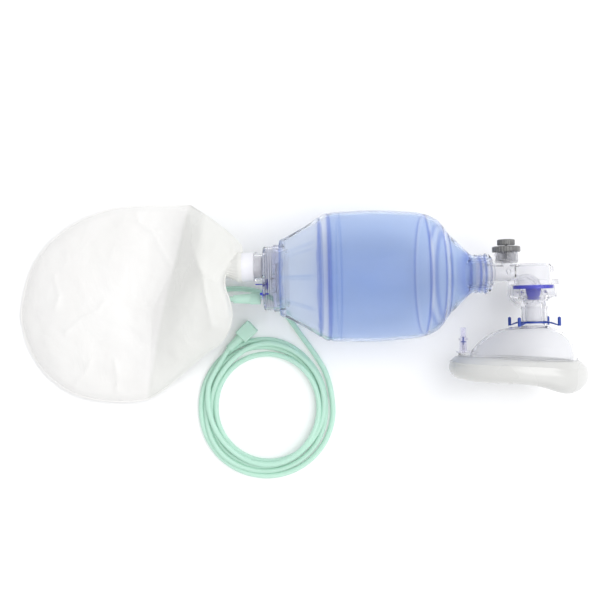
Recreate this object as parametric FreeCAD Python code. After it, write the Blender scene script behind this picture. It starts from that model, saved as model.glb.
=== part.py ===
import FreeCAD, Part
import math
import os

# A bag valve mask: self-inflating squeeze bag, oxygen reservoir, patient valve, face mask and oxygen tube.
# Millimetres. +X runs from the reservoir to the mask, +Z is up, the mask faces -Y, and it all lies on z = 0.

# ---- Driving dimensions ----
AXIS_Y = 21.2               # the bag's long axis
BAG_RADIUS = 65.5           # belly of the squeeze bag, which lies on the surface
BAG_REAR_X = -12.4          # rear edge of the squeeze bag
BAG_WALL = 2.8
BAG_MOUTH_RADIUS = 28.9     # rear opening
BAG_RIM_RADIUS = 37.5       # flat rim round the rear opening
NECK_BORE_RADIUS = 16.2     # front neck
NECK_END = 206.5            # from the bag's rear edge to the end of its neck
HEAD_OFFSET = 252.9         # from the bag's rear edge to the axis of the patient valve
RUNNING = 0.06              # radial clearance of a bearing
GAP = 0.3                   # clearance between curved faces that don't touch

TUBE_DIAMETER = 5.5
SUPPLY_BORE = 6.5           # socket that pushes onto a regulator's barb
EXHALATION_DIAMETER = 30.0  # standard male port
PATIENT_MALE_DIAMETER = 22.0
PATIENT_BORE_DIAMETER = 15.0
MASK_TILT = math.radians(3.2)

RESERVOIR_PORT_Y = 11.8     # from the bag's axis
PORT_BORE_RADIUS = 11.1
NIPPLE_Y, NIPPLE_Z = -19.8, -10.0
AIR_VALVE_Y, AIR_VALVE_Z = -5.4, -14.0
OVERFLOW_Y, OVERFLOW_Z = -15.4, 8.0
RELIEF_OFFSET = 226.6       # relief valve, from the bag's rear edge

COIL_CENTRE_X, COIL_CENTRE_Y = -31.0, -115.4
COIL_OUTER, COIL_INNER = 75.5, 51.0
COIL_HEIGHT = 10.6

AXIS_Z = BAG_RADIUS
ALONG_X = FreeCAD.Vector(1, 0, 0)
ALONG_Y = FreeCAD.Vector(0, 1, 0)
ALONG_Z = FreeCAD.Vector(0, 0, 1)
TO_MASK = FreeCAD.Vector(0, -1, 0)
BAG = FreeCAD.Vector(BAG_REAR_X, AXIS_Y, AXIS_Z)
HEAD = BAG + ALONG_X * HEAD_OFFSET
RELIEF = BAG + ALONG_X * RELIEF_OFFSET


# ---- Drawing helpers ----
def side_of(along):
    """A direction square to an axis, in which radii are drawn."""
    return ALONG_Y if abs(along.x) > 0.9 else ALONG_X


def smooth(*points):
    """Marks a stretch of an outline as one smooth curve through its points."""
    return ("smooth", points)


def outline(place, stretches):
    """A closed wire through stretches of 2-D points. Straight lines join what isn't marked smooth."""
    edges = []
    first = last = None
    for stretch in stretches:
        curved = stretch[0] == "smooth"
        points = [place(*p) for p in (stretch[1] if curved else [stretch])]
        if last is not None and last.distanceToPoint(points[0]) > 1e-6:
            edges.append(Part.LineSegment(last, points[0]).toShape())
        if curved:
            curve = Part.BSplineCurve()
            curve.interpolate(points)
            edges.append(curve.toShape())
        if first is None:
            first = points[0]
        last = points[-1]
    if last.distanceToPoint(first) > 1e-6:
        edges.append(Part.LineSegment(last, first).toShape())
    return Part.Wire(edges)


def turned(base, along, *stretches):
    """A solid of revolution. Its outline is (distance along the axis, radius)."""
    side = side_of(along)
    wire = outline(lambda distance, radius: base + along * distance + side * radius, stretches)
    return Part.Face(wire).revolve(base, along, 360)


def turned_about(base, along, *stretches):
    """A solid of revolution about a level axis that isn't square to the frame."""
    wire = outline(lambda distance, radius: base + along * distance + ALONG_Z * radius, stretches)
    return Part.Face(wire).revolve(base, along, 360)


def rod(base, along, start, end, radius):
    return Part.makeCylinder(radius, end - start, base + along * start, along)


def pipe(base, along, start, end, outer, inner):
    return rod(base, along, start, end, outer).cut(rod(base, along, start, end, inner))


def around(base, along, shape, count, phase=0.0):
    """Copies of a shape, evenly round an axis, in one compound."""
    copies = []
    for i in range(count):
        copy = shape.copy()
        copy.rotate(base, along, phase + 360.0 * i / count)
        copies.append(copy)
    return Part.makeCompound(copies)


def closed_spline(points):
    curve = Part.BSplineCurve()
    curve.interpolate(points, PeriodicFlag=True)
    return Part.Wire([curve.toShape()])


def helix_spring(base, along, length, radius, wire_radius, turns):
    """A coil spring with its axis on `along`, swept turn by turn."""
    path = Part.Wire(Part.makeLongHelix(length / turns, length, radius).Edges)
    first = path.Edges[0]
    start = FreeCAD.Vector(radius, 0, 0)
    section = Part.Wire([Part.makeCircle(wire_radius, start, first.tangentAt(first.FirstParameter))])
    spring = path.makePipeShell([section], True, True)
    spring.Placement = FreeCAD.Placement(base, FreeCAD.Rotation(ALONG_Z, along))
    return spring


# ---- Squeeze bag ----
def bag_outer():
    """Half outline of the bag's outside, from the rear rim to the end of the neck."""
    return [
        (0, BAG_RIM_RADIUS),
        smooth((1.5, 38.6), (12, 44.6), (24, 51.0), (36, 57.8), (44.5, 62.8)),
        smooth((46.5, 63.4), (70, 65.0), (93, BAG_RADIUS), (118, 64.2), (144, 60.9)),
        smooth((144, 60.9), (152, 57.6), (158, 53.4), (163, 47.4)),
        smooth((163, 47.4), (168, 40.4), (174, 34.8), (180, 28.9), (186, 23.0), (190, 19.8)),
    ]


def bag_neck():
    """Ribbed neck: two beads and an end rim."""
    return [
        smooth((192.5, 18.6), (195, 19.4), (197.8, 18.4)),
        smooth((197.8, 18.4), (200.6, 19.5), (203, 18.4)),
        smooth((203, 18.4), (205, 20.2), (NECK_END, 19.6)),
    ]


def bag_inner():
    """The same line one wall further in, drawn back from the neck to the rear opening."""
    wall = BAG_WALL
    return [
        (NECK_END, NECK_BORE_RADIUS),
        (190, NECK_BORE_RADIUS),
        smooth((186, 23.0 - wall), (174, 34.8 - 1.3 * wall), (163, 47.4 - 1.4 * wall)),
        smooth((158, 53.4 - 1.3 * wall), (144, 60.9 - wall), (118, 64.2 - wall), (93, BAG_RADIUS - wall),
               (70, 65.0 - wall), (46.5, 63.4 - wall)),
        smooth((44.5, 62.8 - 1.2 * wall), (24, 51.0 - 1.2 * wall), (6, 37.4)),
        (6, BAG_MOUTH_RADIUS),
        (0, BAG_MOUTH_RADIUS),
    ]


GRIP_CENTRE = 94.0
GRIP_HALF_LENGTH, GRIP_HALF_HEIGHT = 40.0, 34.0


def grip_cutter(side, grow):
    """An oval prism across the bag, from its middle outwards on one side."""
    oval = Part.Ellipse(FreeCAD.Vector(0, 0, 0), GRIP_HALF_LENGTH + grow, GRIP_HALF_HEIGHT + grow)
    face = Part.Face(Part.Wire([oval.toShape()]))
    face.rotate(FreeCAD.Vector(0, 0, 0), ALONG_X, 90)
    face.translate(BAG + ALONG_X * GRIP_CENTRE)
    return face.extrude(ALONG_Y * side * 2 * BAG_RADIUS)


def whole_bag():
    return turned(BAG, ALONG_X, *bag_outer(), *bag_neck(), *bag_inner())


def squeeze_bag():
    bag = whole_bag()
    for side in (1, -1):
        bag = bag.cut(grip_cutter(side, GAP))
    return bag


def grip_panel(side):
    """The part of the bag's wall that the hand presses in, as one rigid panel."""
    return whole_bag().common(grip_cutter(side, 0.0))


# ---- Rear end: cap, intake valve and oxygen inlet ----
CAP_FACE, CAP_RADIUS = -16.3, 31.4
PLATE = 2.4


def at_cap(y, z):
    return BAG + ALONG_Y * y + ALONG_Z * z


def rear_cap():
    cap = turned(BAG, ALONG_X, (CAP_FACE, 0), (CAP_FACE, CAP_RADIUS - 0.8), (CAP_FACE + 0.8, CAP_RADIUS),
                 (-6.5, CAP_RADIUS), (-6.5, 29.3), (CAP_FACE + PLATE, 29.3), (CAP_FACE + PLATE, 0))
    for rib in range(4):
        start = CAP_FACE + 1.4 + 2.2 * rib
        cap = cap.fuse(pipe(BAG, ALONG_X, start, start + 1.0, CAP_RADIUS + 0.5, CAP_RADIUS - 0.5))
    port = at_cap(RESERVOIR_PORT_Y, 0)
    nipple = at_cap(NIPPLE_Y, NIPPLE_Z)
    cap = cap.fuse(rod(port, ALONG_X, -25.4, CAP_FACE + 0.5, 12.75))
    cap = cap.fuse(rod(port, ALONG_X, -24.6, -22.6, 15.0))
    cap = cap.cut(rod(port, ALONG_X, -26, CAP_FACE + PLATE + 1, PORT_BORE_RADIUS))
    cap = cap.fuse(rod(nipple, ALONG_X, -30.0, CAP_FACE + 0.5, 2.6))
    cap = cap.fuse(rod(nipple, ALONG_X, CAP_FACE - 1.6, CAP_FACE + 0.5, 3.6))
    cap = cap.cut(rod(nipple, ALONG_X, -31, CAP_FACE + PLATE + 1, 1.5))
    for y, z in ((AIR_VALVE_Y, AIR_VALVE_Z), (OVERFLOW_Y, OVERFLOW_Z)):
        seat = at_cap(y, z)
        cap = cap.cut(rod(seat, ALONG_X, CAP_FACE - 1, CAP_FACE + PLATE + 1, STEM_RADIUS + GAP))
        vent = rod(seat + ALONG_Y * 3.4, ALONG_X, CAP_FACE - 1, CAP_FACE + PLATE + 1, 0.9)
        cap = cap.cut(around(seat, ALONG_X, vent, 6))
    return cap.removeSplitter()


def rear_retaining_ring():
    ring = turned(BAG, ALONG_X, (-6.3, 29.6), (-6.3, 33.0), (-5.9, 33.4), (-0.9, 33.4), (-0.5, 33.0), (-0.5, 29.6))
    notch = rod(BAG + ALONG_Y * 33.9, ALONG_X, -5.2, -1.6, 0.9)
    return ring.cut(around(BAG, ALONG_X, notch, 36))


def intake_seat():
    """Perforated wall with a collar that the bag's rear mouth grips."""
    seat = turned(BAG, ALONG_X, (-6.0, 0), (-6.0, 29.2), (-0.4, 29.2), (-0.4, 28.6), (9.0, 28.6), (9.0, 26.4),
                  (-3.6, 26.4), (-3.6, 0))
    hole = rod(BAG + ALONG_Y * 9.5, ALONG_X, -7, 0, 3.2)
    seat = seat.cut(around(BAG, ALONG_X, hole, 8))
    return seat.cut(rod(BAG, ALONG_X, -7, 0, 1.5))


def intake_disc():
    """Flat flap valve on the bag side of the seat, held by a barbed stem."""
    disc = turned(BAG, ALONG_X, (-3.3, 0), (-3.3, 15.0), (-2.6, 15.4), (-2.1, 15.0), (-1.7, 2.5), (-0.8, 0))
    stem = rod(BAG, ALONG_X, -9.0, -3.0, 1.2)
    barb = turned(BAG, ALONG_X, (-10.4, 0), (-10.4, 0.8), (-8.2, 2.2), (-8.2, 0))
    return disc.fuse([stem, barb])


STEM_RADIUS = 0.9


def umbrella(seat, face, opens, radius, tail):
    """Umbrella valve: a thin dome over `face`, and a stem through the plate with a tail beyond it."""
    lift = face + opens * 0.3
    dome = turned(seat, ALONG_X, (lift, 0), (lift, radius), (lift + opens * 0.7, radius), (lift + opens * 1.4, 0))
    ends = sorted((lift + opens * 0.5, face - opens * (PLATE + tail)))
    return dome.fuse(rod(seat, ALONG_X, ends[0], ends[1], STEM_RADIUS))


def air_inlet_valve():
    """Opens inwards. Its pull tail stays on the outside of the cap as a thin blade."""
    seat = at_cap(AIR_VALVE_Y, AIR_VALVE_Z)
    blade = Part.makeBox(7.6, 1.1, 2.6, seat + FreeCAD.Vector(CAP_FACE - 9.2, -0.55, -1.3))
    return umbrella(seat, CAP_FACE + PLATE, 1, 5.6, 2.2).fuse(blade)


def overflow_valve():
    """Opens outwards, and lets spare oxygen out of the reservoir."""
    seat = at_cap(OVERFLOW_Y, OVERFLOW_Z)
    nub = rod(seat, ALONG_X, CAP_FACE - 3.6, CAP_FACE - 1.0, 1.2)
    return umbrella(seat, CAP_FACE, -1, 5.6, 2.6).fuse(nub)


# ---- Reservoir ----
CUFF_START, CUFF_END = -37.5, -50.0
CUFF_RADIUS, CUFF_END_RADIUS = 15.2, 10.4
FILM = 0.7


def reservoir_connector():
    """White sleeve whose spigot slides into the cap's reservoir port."""
    port = at_cap(RESERVOIR_PORT_Y, 0)
    spigot = PORT_BORE_RADIUS - RUNNING
    return turned(port, ALONG_X, (-18.0, spigot - 0.4), (-18.4, spigot), (-25.6, spigot), (-25.6, 14.0),
                  (-26.4, 14.4), (-38.9, 14.4), (-39.5, 13.8), (-39.5, 9.6), (-18.0, 9.6))


def reservoir_cuff():
    """Neck of the film, welded round the sleeve's end and drawn in beyond it."""
    port = at_cap(RESERVOIR_PORT_Y, 0)
    inner = CUFF_RADIUS - 0.74
    return turned(port, ALONG_X, (CUFF_START, inner), (CUFF_START, CUFF_RADIUS), (-41.0, CUFF_RADIUS),
                  (CUFF_END, CUFF_END_RADIUS), (CUFF_END, CUFF_END_RADIUS - 0.74), (-41.0, inner))


# Stations of the film bag: x, its two edges, the heights of those edges and of its middle, and its thickness
RESERVOIR = [
    (-49.8, 40, 53.5, 65, 64, 66, 6),
    (-53.5, 32, 59.5, 65, 63, 67, 8),
    (-58, 18, 63.5, 63, 61, 69, 10),
    (-61, -14, 66.5, 59, 60, 71, 10),
    (-64, -27, 69, 54, 58, 71.5, 11),
    (-70, -37.5, 74.3, 45, 55, 71, 12.5),
    (-80, -47.5, 82, 35, 52, 69.5, 14),
    (-99, -60.5, 97.5, 26, 45, 66, 13.5),
    (-112, -71, 101.3, 19, 34, 54, 18),
    (-126, -83, 102.3, 13, 22, 33, 27),
    (-140, -94, 103.5, 9, 12, 19, 31),
    (-156, -103, 104, 7.2, 7.2, 14.4, 28.6),
    (-190, -105.7, 101.8, 7, 7, 14, 27.8),
    (-216, -102.5, 94.5, 6.7, 6.7, 13.4, 26.6),
    (-240, -95, 82.5, 6, 6, 12, 23.8),
    (-262, -79.5, 67, 4.7, 4.7, 9.4, 18.6),
    (-278, -60, 47, 3.3, 3.3, 6.6, 13),
    (-287, -43, 24, 2.5, 2.5, 4.8, 9.2),
    (-291.8, -24, -1, 2.2, 2.2, 3.4, 5),
]


def film_section(station, inset):
    """Lens-shaped section of the film bag at one station. Its two edges hang lower than its middle."""
    x, low_y, high_y, low_edge, high_edge, middle, thickness = station
    arch = middle - (low_edge + high_edge) / 2
    points = []
    for i in range(16):
        across, up = math.cos(2 * math.pi * i / 16), math.sin(2 * math.pi * i / 16)
        y = (high_y + low_y) / 2 + ((high_y - low_y) / 2 - 2 * inset) * across
        centre = (low_edge + high_edge) / 2 + (high_edge - low_edge) / 2 * across + arch * up ** 2
        points.append(FreeCAD.Vector(x, y, centre + (thickness / 2 - inset) * up))
    return closed_spline(points)


def film_body(skin):
    """The film bag's outer shape, or the air inside it. Its neck end wraps round the cuff without touching it."""
    ends = (RESERVOIR[0][0] - skin, RESERVOIR[-1][0] + skin)
    stations = [(ends[0], *RESERVOIR[0][1:])] + RESERVOIR[1:-1] + [(ends[1], *RESERVOIR[-1][1:])]
    lens = Part.makeLoft([film_section(s, skin) for s in stations], True, True)
    port = at_cap(RESERVOIR_PORT_Y, 0)
    throat = turned(port, ALONG_X, (CUFF_END - GAP - skin, 0), (CUFF_END - GAP - skin, CUFF_END_RADIUS - skin),
                    (-72, 5.5 - skin), (-72, 0))
    neck = turned(port, ALONG_X, (CUFF_END - GAP - skin, 0), (CUFF_END - GAP - skin, CUFF_END_RADIUS + GAP + skin),
                  (-41, CUFF_RADIUS + GAP + skin), (-30, CUFF_RADIUS + GAP + skin), (-30, 0))
    return lens.fuse(throat).cut(neck)


def reservoir_bag():
    """Film bag: high at its neck, sloping down to the surface it lies on. The oxygen tube passes below the slope."""
    return film_body(0.0).cut(film_body(FILM))


# ---- Patient valve ----
CHAMBER_RADIUS, CHAMBER_WALL = 18.0, 1.7
FLANGE_TOP, FLANGE_BOTTOM, FLANGE_RADIUS = 7.4, 12.4, 24.5
BASE_BOTTOM, BASE_RADIUS = 24.3, 22.5
CONNECTOR_NECK = 11.0


def neck_insert():
    """Bush clamped in the bag's neck, in which the valve turns."""
    return turned(BAG, ALONG_X, (189.5, 15.9), (206.7, 15.9), (206.7, 19.4), (208.4, 19.4), (208.4, 13.2),
                  (189.5, 13.2))


def valve_housing():
    tube = turned(BAG, ALONG_X, (190.5, 13.2 - RUNNING), (208.7, 13.2 - RUNNING), (208.7, 18.0), (210.2, 17.2),
                  (213.4, 9.4), (217, 8.7), (HEAD_OFFSET - 12, 8.7), (HEAD_OFFSET - 12, 0), (190.5, 0))
    snap = turned(BAG, ALONG_X, (187.0, 10), (187.0, 13.4), (189.2, 14.2), (189.2, 13.0), (190.6, 13.0), (190.6, 10))
    chamber = turned(HEAD, TO_MASK, (-9.3, 0), (-9.3, CHAMBER_RADIUS - 3), (-8.4, CHAMBER_RADIUS - 0.9),
                     (-6.3, CHAMBER_RADIUS), (FLANGE_TOP, CHAMBER_RADIUS), (FLANGE_TOP, FLANGE_RADIUS - 0.4),
                     (FLANGE_TOP + 0.4, FLANGE_RADIUS), (FLANGE_BOTTOM - 0.2, FLANGE_RADIUS),
                     (FLANGE_BOTTOM - 0.2, 0))
    lug = rod(HEAD + ALONG_Y * 3.0, ALONG_X, CHAMBER_RADIUS - 2, CHAMBER_RADIUS + 2, 3.0)
    relief_neck = rod(RELIEF, ALONG_Y, 0, 10.2, 5.9)
    manometer_boss = rod(RELIEF + ALONG_Y * 1.6, ALONG_Z, 0, 10.4, 3.4)
    body = tube.fuse([snap, chamber, lug, relief_neck, manometer_boss])
    inside = turned(HEAD, TO_MASK, (-7.6, 0), (-7.6, CHAMBER_RADIUS - 3.4), (-6.0, CHAMBER_RADIUS - CHAMBER_WALL),
                    (FLANGE_BOTTOM, CHAMBER_RADIUS - CHAMBER_WALL), (FLANGE_BOTTOM, 0))
    rebate = rod(HEAD, TO_MASK, FLANGE_BOTTOM - 1.0, FLANGE_BOTTOM + 1, 20.6)
    bore = turned(BAG, ALONG_X, (186, 0), (186, 11.4), (206, 11.4), (213, 7.2), (HEAD_OFFSET - 10, 7.2),
                  (HEAD_OFFSET - 10, 0))
    body = body.cut(inside).cut(rebate).cut(bore)
    body = body.cut(rod(RELIEF, ALONG_Y, 0, 11, 4.2))
    return body.cut(rod(RELIEF + ALONG_Y * 1.6, ALONG_Z, 0, 11, 2.1))


def duckbill_valve():
    """Disc with a closed bill. The disc covers the exhalation seat, and the bill opens towards the patient."""
    disc = turned(HEAD, TO_MASK, (12.6, 7.2), (12.6, 19.5), (13.4, 19.7), (15.9, 19.7), (15.9, 18.2), (14.4, 17.6),
                  (14.4, 7.2))
    skirt = turned(HEAD, TO_MASK, (12.6, 6.2), (12.6, 7.6), (17.0, 7.6), (17.0, 6.2))
    mouth = Part.Wire([Part.makeCircle(7.6, HEAD + TO_MASK * 16.8, TO_MASK)])
    lips = []
    for distance, half_width, half_height in ((21.0, 6.9, 4.2), (24.2, 5.2, 1.5), (25.2, 3.6, 0.9)):
        oval = Part.Ellipse(FreeCAD.Vector(0, 0, 0), half_width, half_height).toShape()
        oval.rotate(FreeCAD.Vector(0, 0, 0), ALONG_X, 90)
        oval.translate(HEAD + TO_MASK * distance)
        lips.append(Part.Wire([oval]))
    bill = Part.makeLoft([mouth] + lips, True, False)
    return disc.fuse([skirt, bill])


SEAT_TOP = 17.3


def valve_base():
    """Lower half of the valve: exhalation seat, socket for the patient connector and a side window."""
    body = turned(HEAD, TO_MASK, (FLANGE_BOTTOM, 20.9), (FLANGE_BOTTOM, BASE_RADIUS), (BASE_BOTTOM, BASE_RADIUS),
                  (BASE_BOTTOM, 19.5), (27.0, 14.2), (28.4, 14.2), (28.4, CONNECTOR_NECK), (25.6, CONNECTOR_NECK),
                  (25.6, 12.6), (22.6, 12.6), (22.6, 20.9))
    seat = turned(HEAD, TO_MASK, (SEAT_TOP, 10.6), (SEAT_TOP, 12.2), (19.2, 13.6), (22.8, 13.6), (22.8, 12.6),
                  (20.2, 12.6))
    web = Part.makeBox(2.0, 4.0, 9.0, HEAD + FreeCAD.Vector(-1.0, -23.4, 12.8))
    body = body.fuse([seat, around(HEAD, TO_MASK, web, 3, 60)])
    return body.cut(exhalation_window(0.0))


def exhalation_window(grow):
    """Rectangular duct from the valve's outer ring towards -Z."""
    half = 8.0 + grow
    height = 7.4 + 2 * grow
    return Part.makeBox(2 * half, height, 14, HEAD + FreeCAD.Vector(-half, -22.2 - grow, -28.4))


def exhalation_port():
    """Side chamber that ends in a standard male port, pointing down."""
    centre = HEAD + TO_MASK * 18.2
    down = ALONG_Z * -1
    shell = turned(centre, down, (25.0, 0), (25.0, 16.6), (26.4, 18.0), (35.2, 18.0), (36.6, 16.6),
                   (37.0, EXHALATION_DIAMETER / 2), (49.0, EXHALATION_DIAMETER / 2), (49.0, 13.4), (36.0, 13.4),
                   (34.6, 16.2), (26.8, 16.2), (26.8, 0))
    duct = exhalation_window(1.6)
    duct.translate(ALONG_Z * 1.6)
    duct = duct.cut(rod(HEAD, TO_MASK, 0, 40, BASE_RADIUS))
    shell = shell.fuse(duct)
    passage = exhalation_window(0.0)
    bars = Part.makeCompound([Part.makeBox(27.6, 1.2, 1.6, centre + FreeCAD.Vector(-13.8, y - 0.6, -47.0))
                              for y in (-6, 0, 6)])
    return shell.cut(passage).fuse(bars.common(rod(centre, down, 40.0, 49.0, 13.8)))


def patient_connector():
    """22 mm male and 15 mm female patient port, which turns in the valve's base."""
    male = PATIENT_MALE_DIAMETER / 2
    bore = PATIENT_BORE_DIAMETER / 2
    return turned(HEAD, TO_MASK, (22.9, 9.0), (22.9, 12.0), (25.3, 12.0), (25.3, CONNECTOR_NECK - RUNNING),
                  (28.7, CONNECTOR_NECK - RUNNING), (28.7, 11.9), (33.4, 11.9), (33.4, male), (47.6, male),
                  (48.0, male - 0.4), (48.0, bore), (31.0, bore), (30.0, 9.0))


# ---- Pressure relief valve and manometer port ----
def relief_body():
    """Threaded barrel over the relief neck, with its seat at the bottom and a spigot for the lock ring."""
    barrel = turned(RELIEF, ALONG_Y, (10.2, 4.2), (10.2, 10.6), (11.0, 11.0), (20.8, 11.0), (20.8, 9.4),
                    (26.8, 9.4), (26.8, 7.8), (19.4, 7.8), (19.4, 9.4), (11.8, 9.4), (11.8, 4.2))
    for thread in range(5):
        start = 11.6 + 1.7 * thread
        barrel = barrel.fuse(pipe(RELIEF, ALONG_Y, start, start + 0.8, 11.4, 10.5))
    return barrel.removeSplitter()


def relief_disc():
    """Poppet disc with its guide stem."""
    disc = turned(RELIEF, ALONG_Y, (12.1, 0), (12.1, 6.6), (13.4, 6.6), (13.4, 1.3), (27.6, 1.3), (27.6, 0))
    return disc


def relief_spring():
    return helix_spring(RELIEF + ALONG_Y * 14.2, ALONG_Y, 11.0, 4.2, 0.4, 5)


def relief_cover():
    """Lid of the barrel, which holds the spring and guides the stem."""
    lid = turned(RELIEF, ALONG_Y, (26.0, 1.3 + RUNNING), (26.0, 7.7), (27.0, 7.7), (27.0, 1.3 + RUNNING))
    vent = rod(RELIEF + ALONG_X * 4.6, ALONG_Y, 25, 28, 1.1)
    return lid.cut(around(RELIEF, ALONG_Y, vent, 6))


def relief_ring():
    """Knurled ring that locks the relief valve shut when turned."""
    ring = turned(RELIEF, ALONG_Y, (21.1, 9.4 + RUNNING), (21.1, 13.2), (21.9, 13.9), (25.9, 13.9), (26.8, 13.2),
                  (26.8, 9.4 + RUNNING))
    groove = rod(RELIEF + ALONG_X * 14.3, ALONG_Y, 20, 28, 0.8)
    return ring.cut(around(RELIEF, ALONG_Y, groove, 28))


def relief_knob():
    """Cap on the stem. It is lifted or pressed to test the valve."""
    knob = turned(RELIEF, ALONG_Y, (27.9, 0), (27.9, 8.0), (28.6, 8.8), (33.0, 8.8), (33.8, 8.0), (33.8, 5.6),
                  (33.0, 5.0), (33.0, 0))
    groove = rod(RELIEF + ALONG_X * 9.3, ALONG_Y, 27, 35, 0.8)
    stem = rod(RELIEF, ALONG_Y, 27.6, 28.0, 1.3)
    return knob.cut(around(RELIEF, ALONG_Y, groove, 24)).fuse(stem)


def manometer_cap():
    """Small push-in cap on the pressure gauge port."""
    base = RELIEF + ALONG_Y * 1.6
    return turned(base, ALONG_Z, (6.4, 0), (6.4, 2.1 - RUNNING), (10.5, 2.1 - RUNNING), (10.5, 3.0), (11.6, 3.0),
                  (12.0, 2.6), (12.0, 0))


# ---- Mask ----
def pear(left, right, half_width, taper, lift, tilt, count=20):
    """Mask outline in a plane `lift` below the axis: narrow at the nose (-X), wide at the chin (+X)."""
    points = []
    for i in range(count):
        angle = 2 * math.pi * i / count
        x = (left + right) / 2 + (right - left) / 2 * math.cos(angle)
        z = half_width * math.sin(angle) * (1 + taper * math.cos(angle))
        points.append(HEAD + FreeCAD.Vector(x, -lift - x * math.tan(tilt), z))
    return points


# Dome sections: nose end, chin end, half width, taper, distance from the axis, tilt
DOME = [
    (-65.0, 39.0, 36.0, 0.20, 84.2, MASK_TILT),
    (-60.0, 38.2, 34.6, 0.19, 76.0, 0.8 * MASK_TILT),
    (-51.0, 35.6, 30.6, 0.15, 67.0, 0.6 * MASK_TILT),
    (-37.0, 25.5, 22.6, 0.10, 58.2, 0.3 * MASK_TILT),
    (-13.2, 13.2, 13.2, 0.00, 53.4, 0.0),
]
DOME_WALL = 1.8
FLANGE = (-76.0, 41.7, 40.5, 0.18)
MASK_PORT_TOP, MASK_PORT_RADIUS = 33.8, 13.05


def dome_solid(inset):
    """Solid dome. Its ends reach a little past the flange and the port."""
    sections = []
    for left, right, half_width, taper, lift, tilt in DOME:
        sections.append(closed_spline(pear(left + inset, right - inset, half_width - inset, taper, lift + inset, tilt)))
    return Part.makeLoft(sections, True, False)


def flange_plate(grow, top, bottom):
    left, right, half_width, taper = FLANGE
    rim = closed_spline(pear(left - grow, right + grow, half_width + grow, taper, top, MASK_TILT))
    return Part.Face(rim).extrude(TO_MASK * (bottom - top))


def mask_shell():
    bore = PATIENT_MALE_DIAMETER / 2 + RUNNING
    port = rod(HEAD, TO_MASK, MASK_PORT_TOP, 55.0, MASK_PORT_RADIUS)
    bead = turned(HEAD, TO_MASK, (MASK_PORT_TOP, 12.6), (MASK_PORT_TOP, 13.4), (35.6, 13.4), (36.2, 12.6))
    shell = dome_solid(0.0).fuse([flange_plate(0.0, 83.0, 85.0), port, bead])
    hollow = dome_solid(DOME_WALL)
    shell = shell.cut(hollow)
    shell = shell.cut(flange_plate(-14.0, 81.0, 86.0))
    return shell.cut(rod(HEAD, TO_MASK, 30.0, 60.0, bore))


CUSHION = (-85.6, 51.1, 49.2, 0.13)
# Sections of the cushion: distance from the axis, tilt in degrees, outer inset and inner inset
CUSHION_LEVELS = [
    (85.2, 3.2, 7.5, 19.5),
    (90.0, 3.6, 1.6, 23.0),
    (98.5, 5.0, 0.0, 24.0),
    (108.5, 7.0, 3.0, 23.0),
    (114.6, 8.5, 9.5, 19.5),
]


def cushion_loft(column, skin, over=0.0):
    """Loft through one column of insets, drawn in by `skin` and longer by `over` at its ends."""
    left, right, half_width, taper = CUSHION
    last = len(CUSHION_LEVELS) - 1
    sections = []
    for i, level in enumerate(CUSHION_LEVELS):
        lift = level[0] + {0: skin - over, last: over - skin}.get(i, 0.0)
        inset = level[column] + (skin if column == 2 else -skin)
        points = pear(left + inset, right - inset, half_width - inset, taper, lift, math.radians(level[1]))
        sections.append(closed_spline(points))
    return Part.makeLoft(sections, True, False)


def cushion_ring(skin):
    """The ring's outer shape, or, drawn in by its skin, the air inside it."""
    return cushion_loft(2, skin).cut(cushion_loft(3, skin, over=2.0))


def mask_cushion():
    """Air-filled ring that seals on the face."""
    return cushion_ring(0.0).cut(cushion_ring(1.4))


HOOK_COUNT, HOOK_PHASE, HOOK_REACH = 4, 45.0, 27.7


def hook_ring():
    """Ring round the mask's port with four hooks for a head harness."""
    ring = pipe(HEAD, TO_MASK, 48.6, 50.4, 15.2, MASK_PORT_RADIUS + RUNNING)
    arm_points = [(13.8, 49.2), (19.0, 49.2), (HOOK_REACH, 52.2), (HOOK_REACH, 52.9), (18.0, 50.4), (13.8, 50.4)]
    corners = [HEAD + ALONG_X * r + TO_MASK * d + ALONG_Z * -1.4 for r, d in arm_points]
    arm = Part.Face(Part.makePolygon(corners + corners[:1])).extrude(ALONG_Z * 2.8)
    post = rod(HEAD + ALONG_X * HOOK_REACH, TO_MASK, 45.6, 52.9, 1.6)
    tip = Part.makeSphere(1.6, HEAD + ALONG_X * HOOK_REACH + TO_MASK * 45.6)
    hook = arm.fuse([post, tip])
    return ring.fuse(list(around(HEAD, TO_MASK, hook, HOOK_COUNT, HOOK_PHASE).Solids)).removeSplitter()


# ---- Cushion inflation valve ----
CUSHION_VALVE = HEAD + FreeCAD.Vector(-71.0, -53.3, 0)
LUER_RADIUS, LUER_DEPTH = 2.1, 8.6


def cushion_valve_body():
    """Luer-topped check valve, bonded to the mask's nose end."""
    return turned(CUSHION_VALVE, TO_MASK, (0, LUER_RADIUS), (0, 2.9), (10.0, 2.9), (10.4, 4.6), (12.0, 4.6),
                  (12.4, 3.9), (23.4, 3.9), (23.4, 7.0), (24.9, 7.2), (24.9, 1.2), (23.0, 1.2), (23.0, 2.8),
                  (LUER_DEPTH + 1.2, 2.8), (LUER_DEPTH, LUER_RADIUS))


def cushion_valve_plunger():
    """Pin that a syringe tip presses to open the check valve."""
    return turned(CUSHION_VALVE, TO_MASK, (LUER_DEPTH + 0.4, 0), (LUER_DEPTH + 0.4, 0.9), (13.6, 0.9),
                  (13.6, 2.4), (14.8, 2.4), (14.8, 0.8), (17.2, 0.8), (17.2, 0))


def cushion_valve_spring():
    return helix_spring(CUSHION_VALVE + TO_MASK * 15.2, TO_MASK, 7.4, 1.7, 0.22, 5)


# ---- Oxygen tube ----
NIPPLE_END = -48.0


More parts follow.
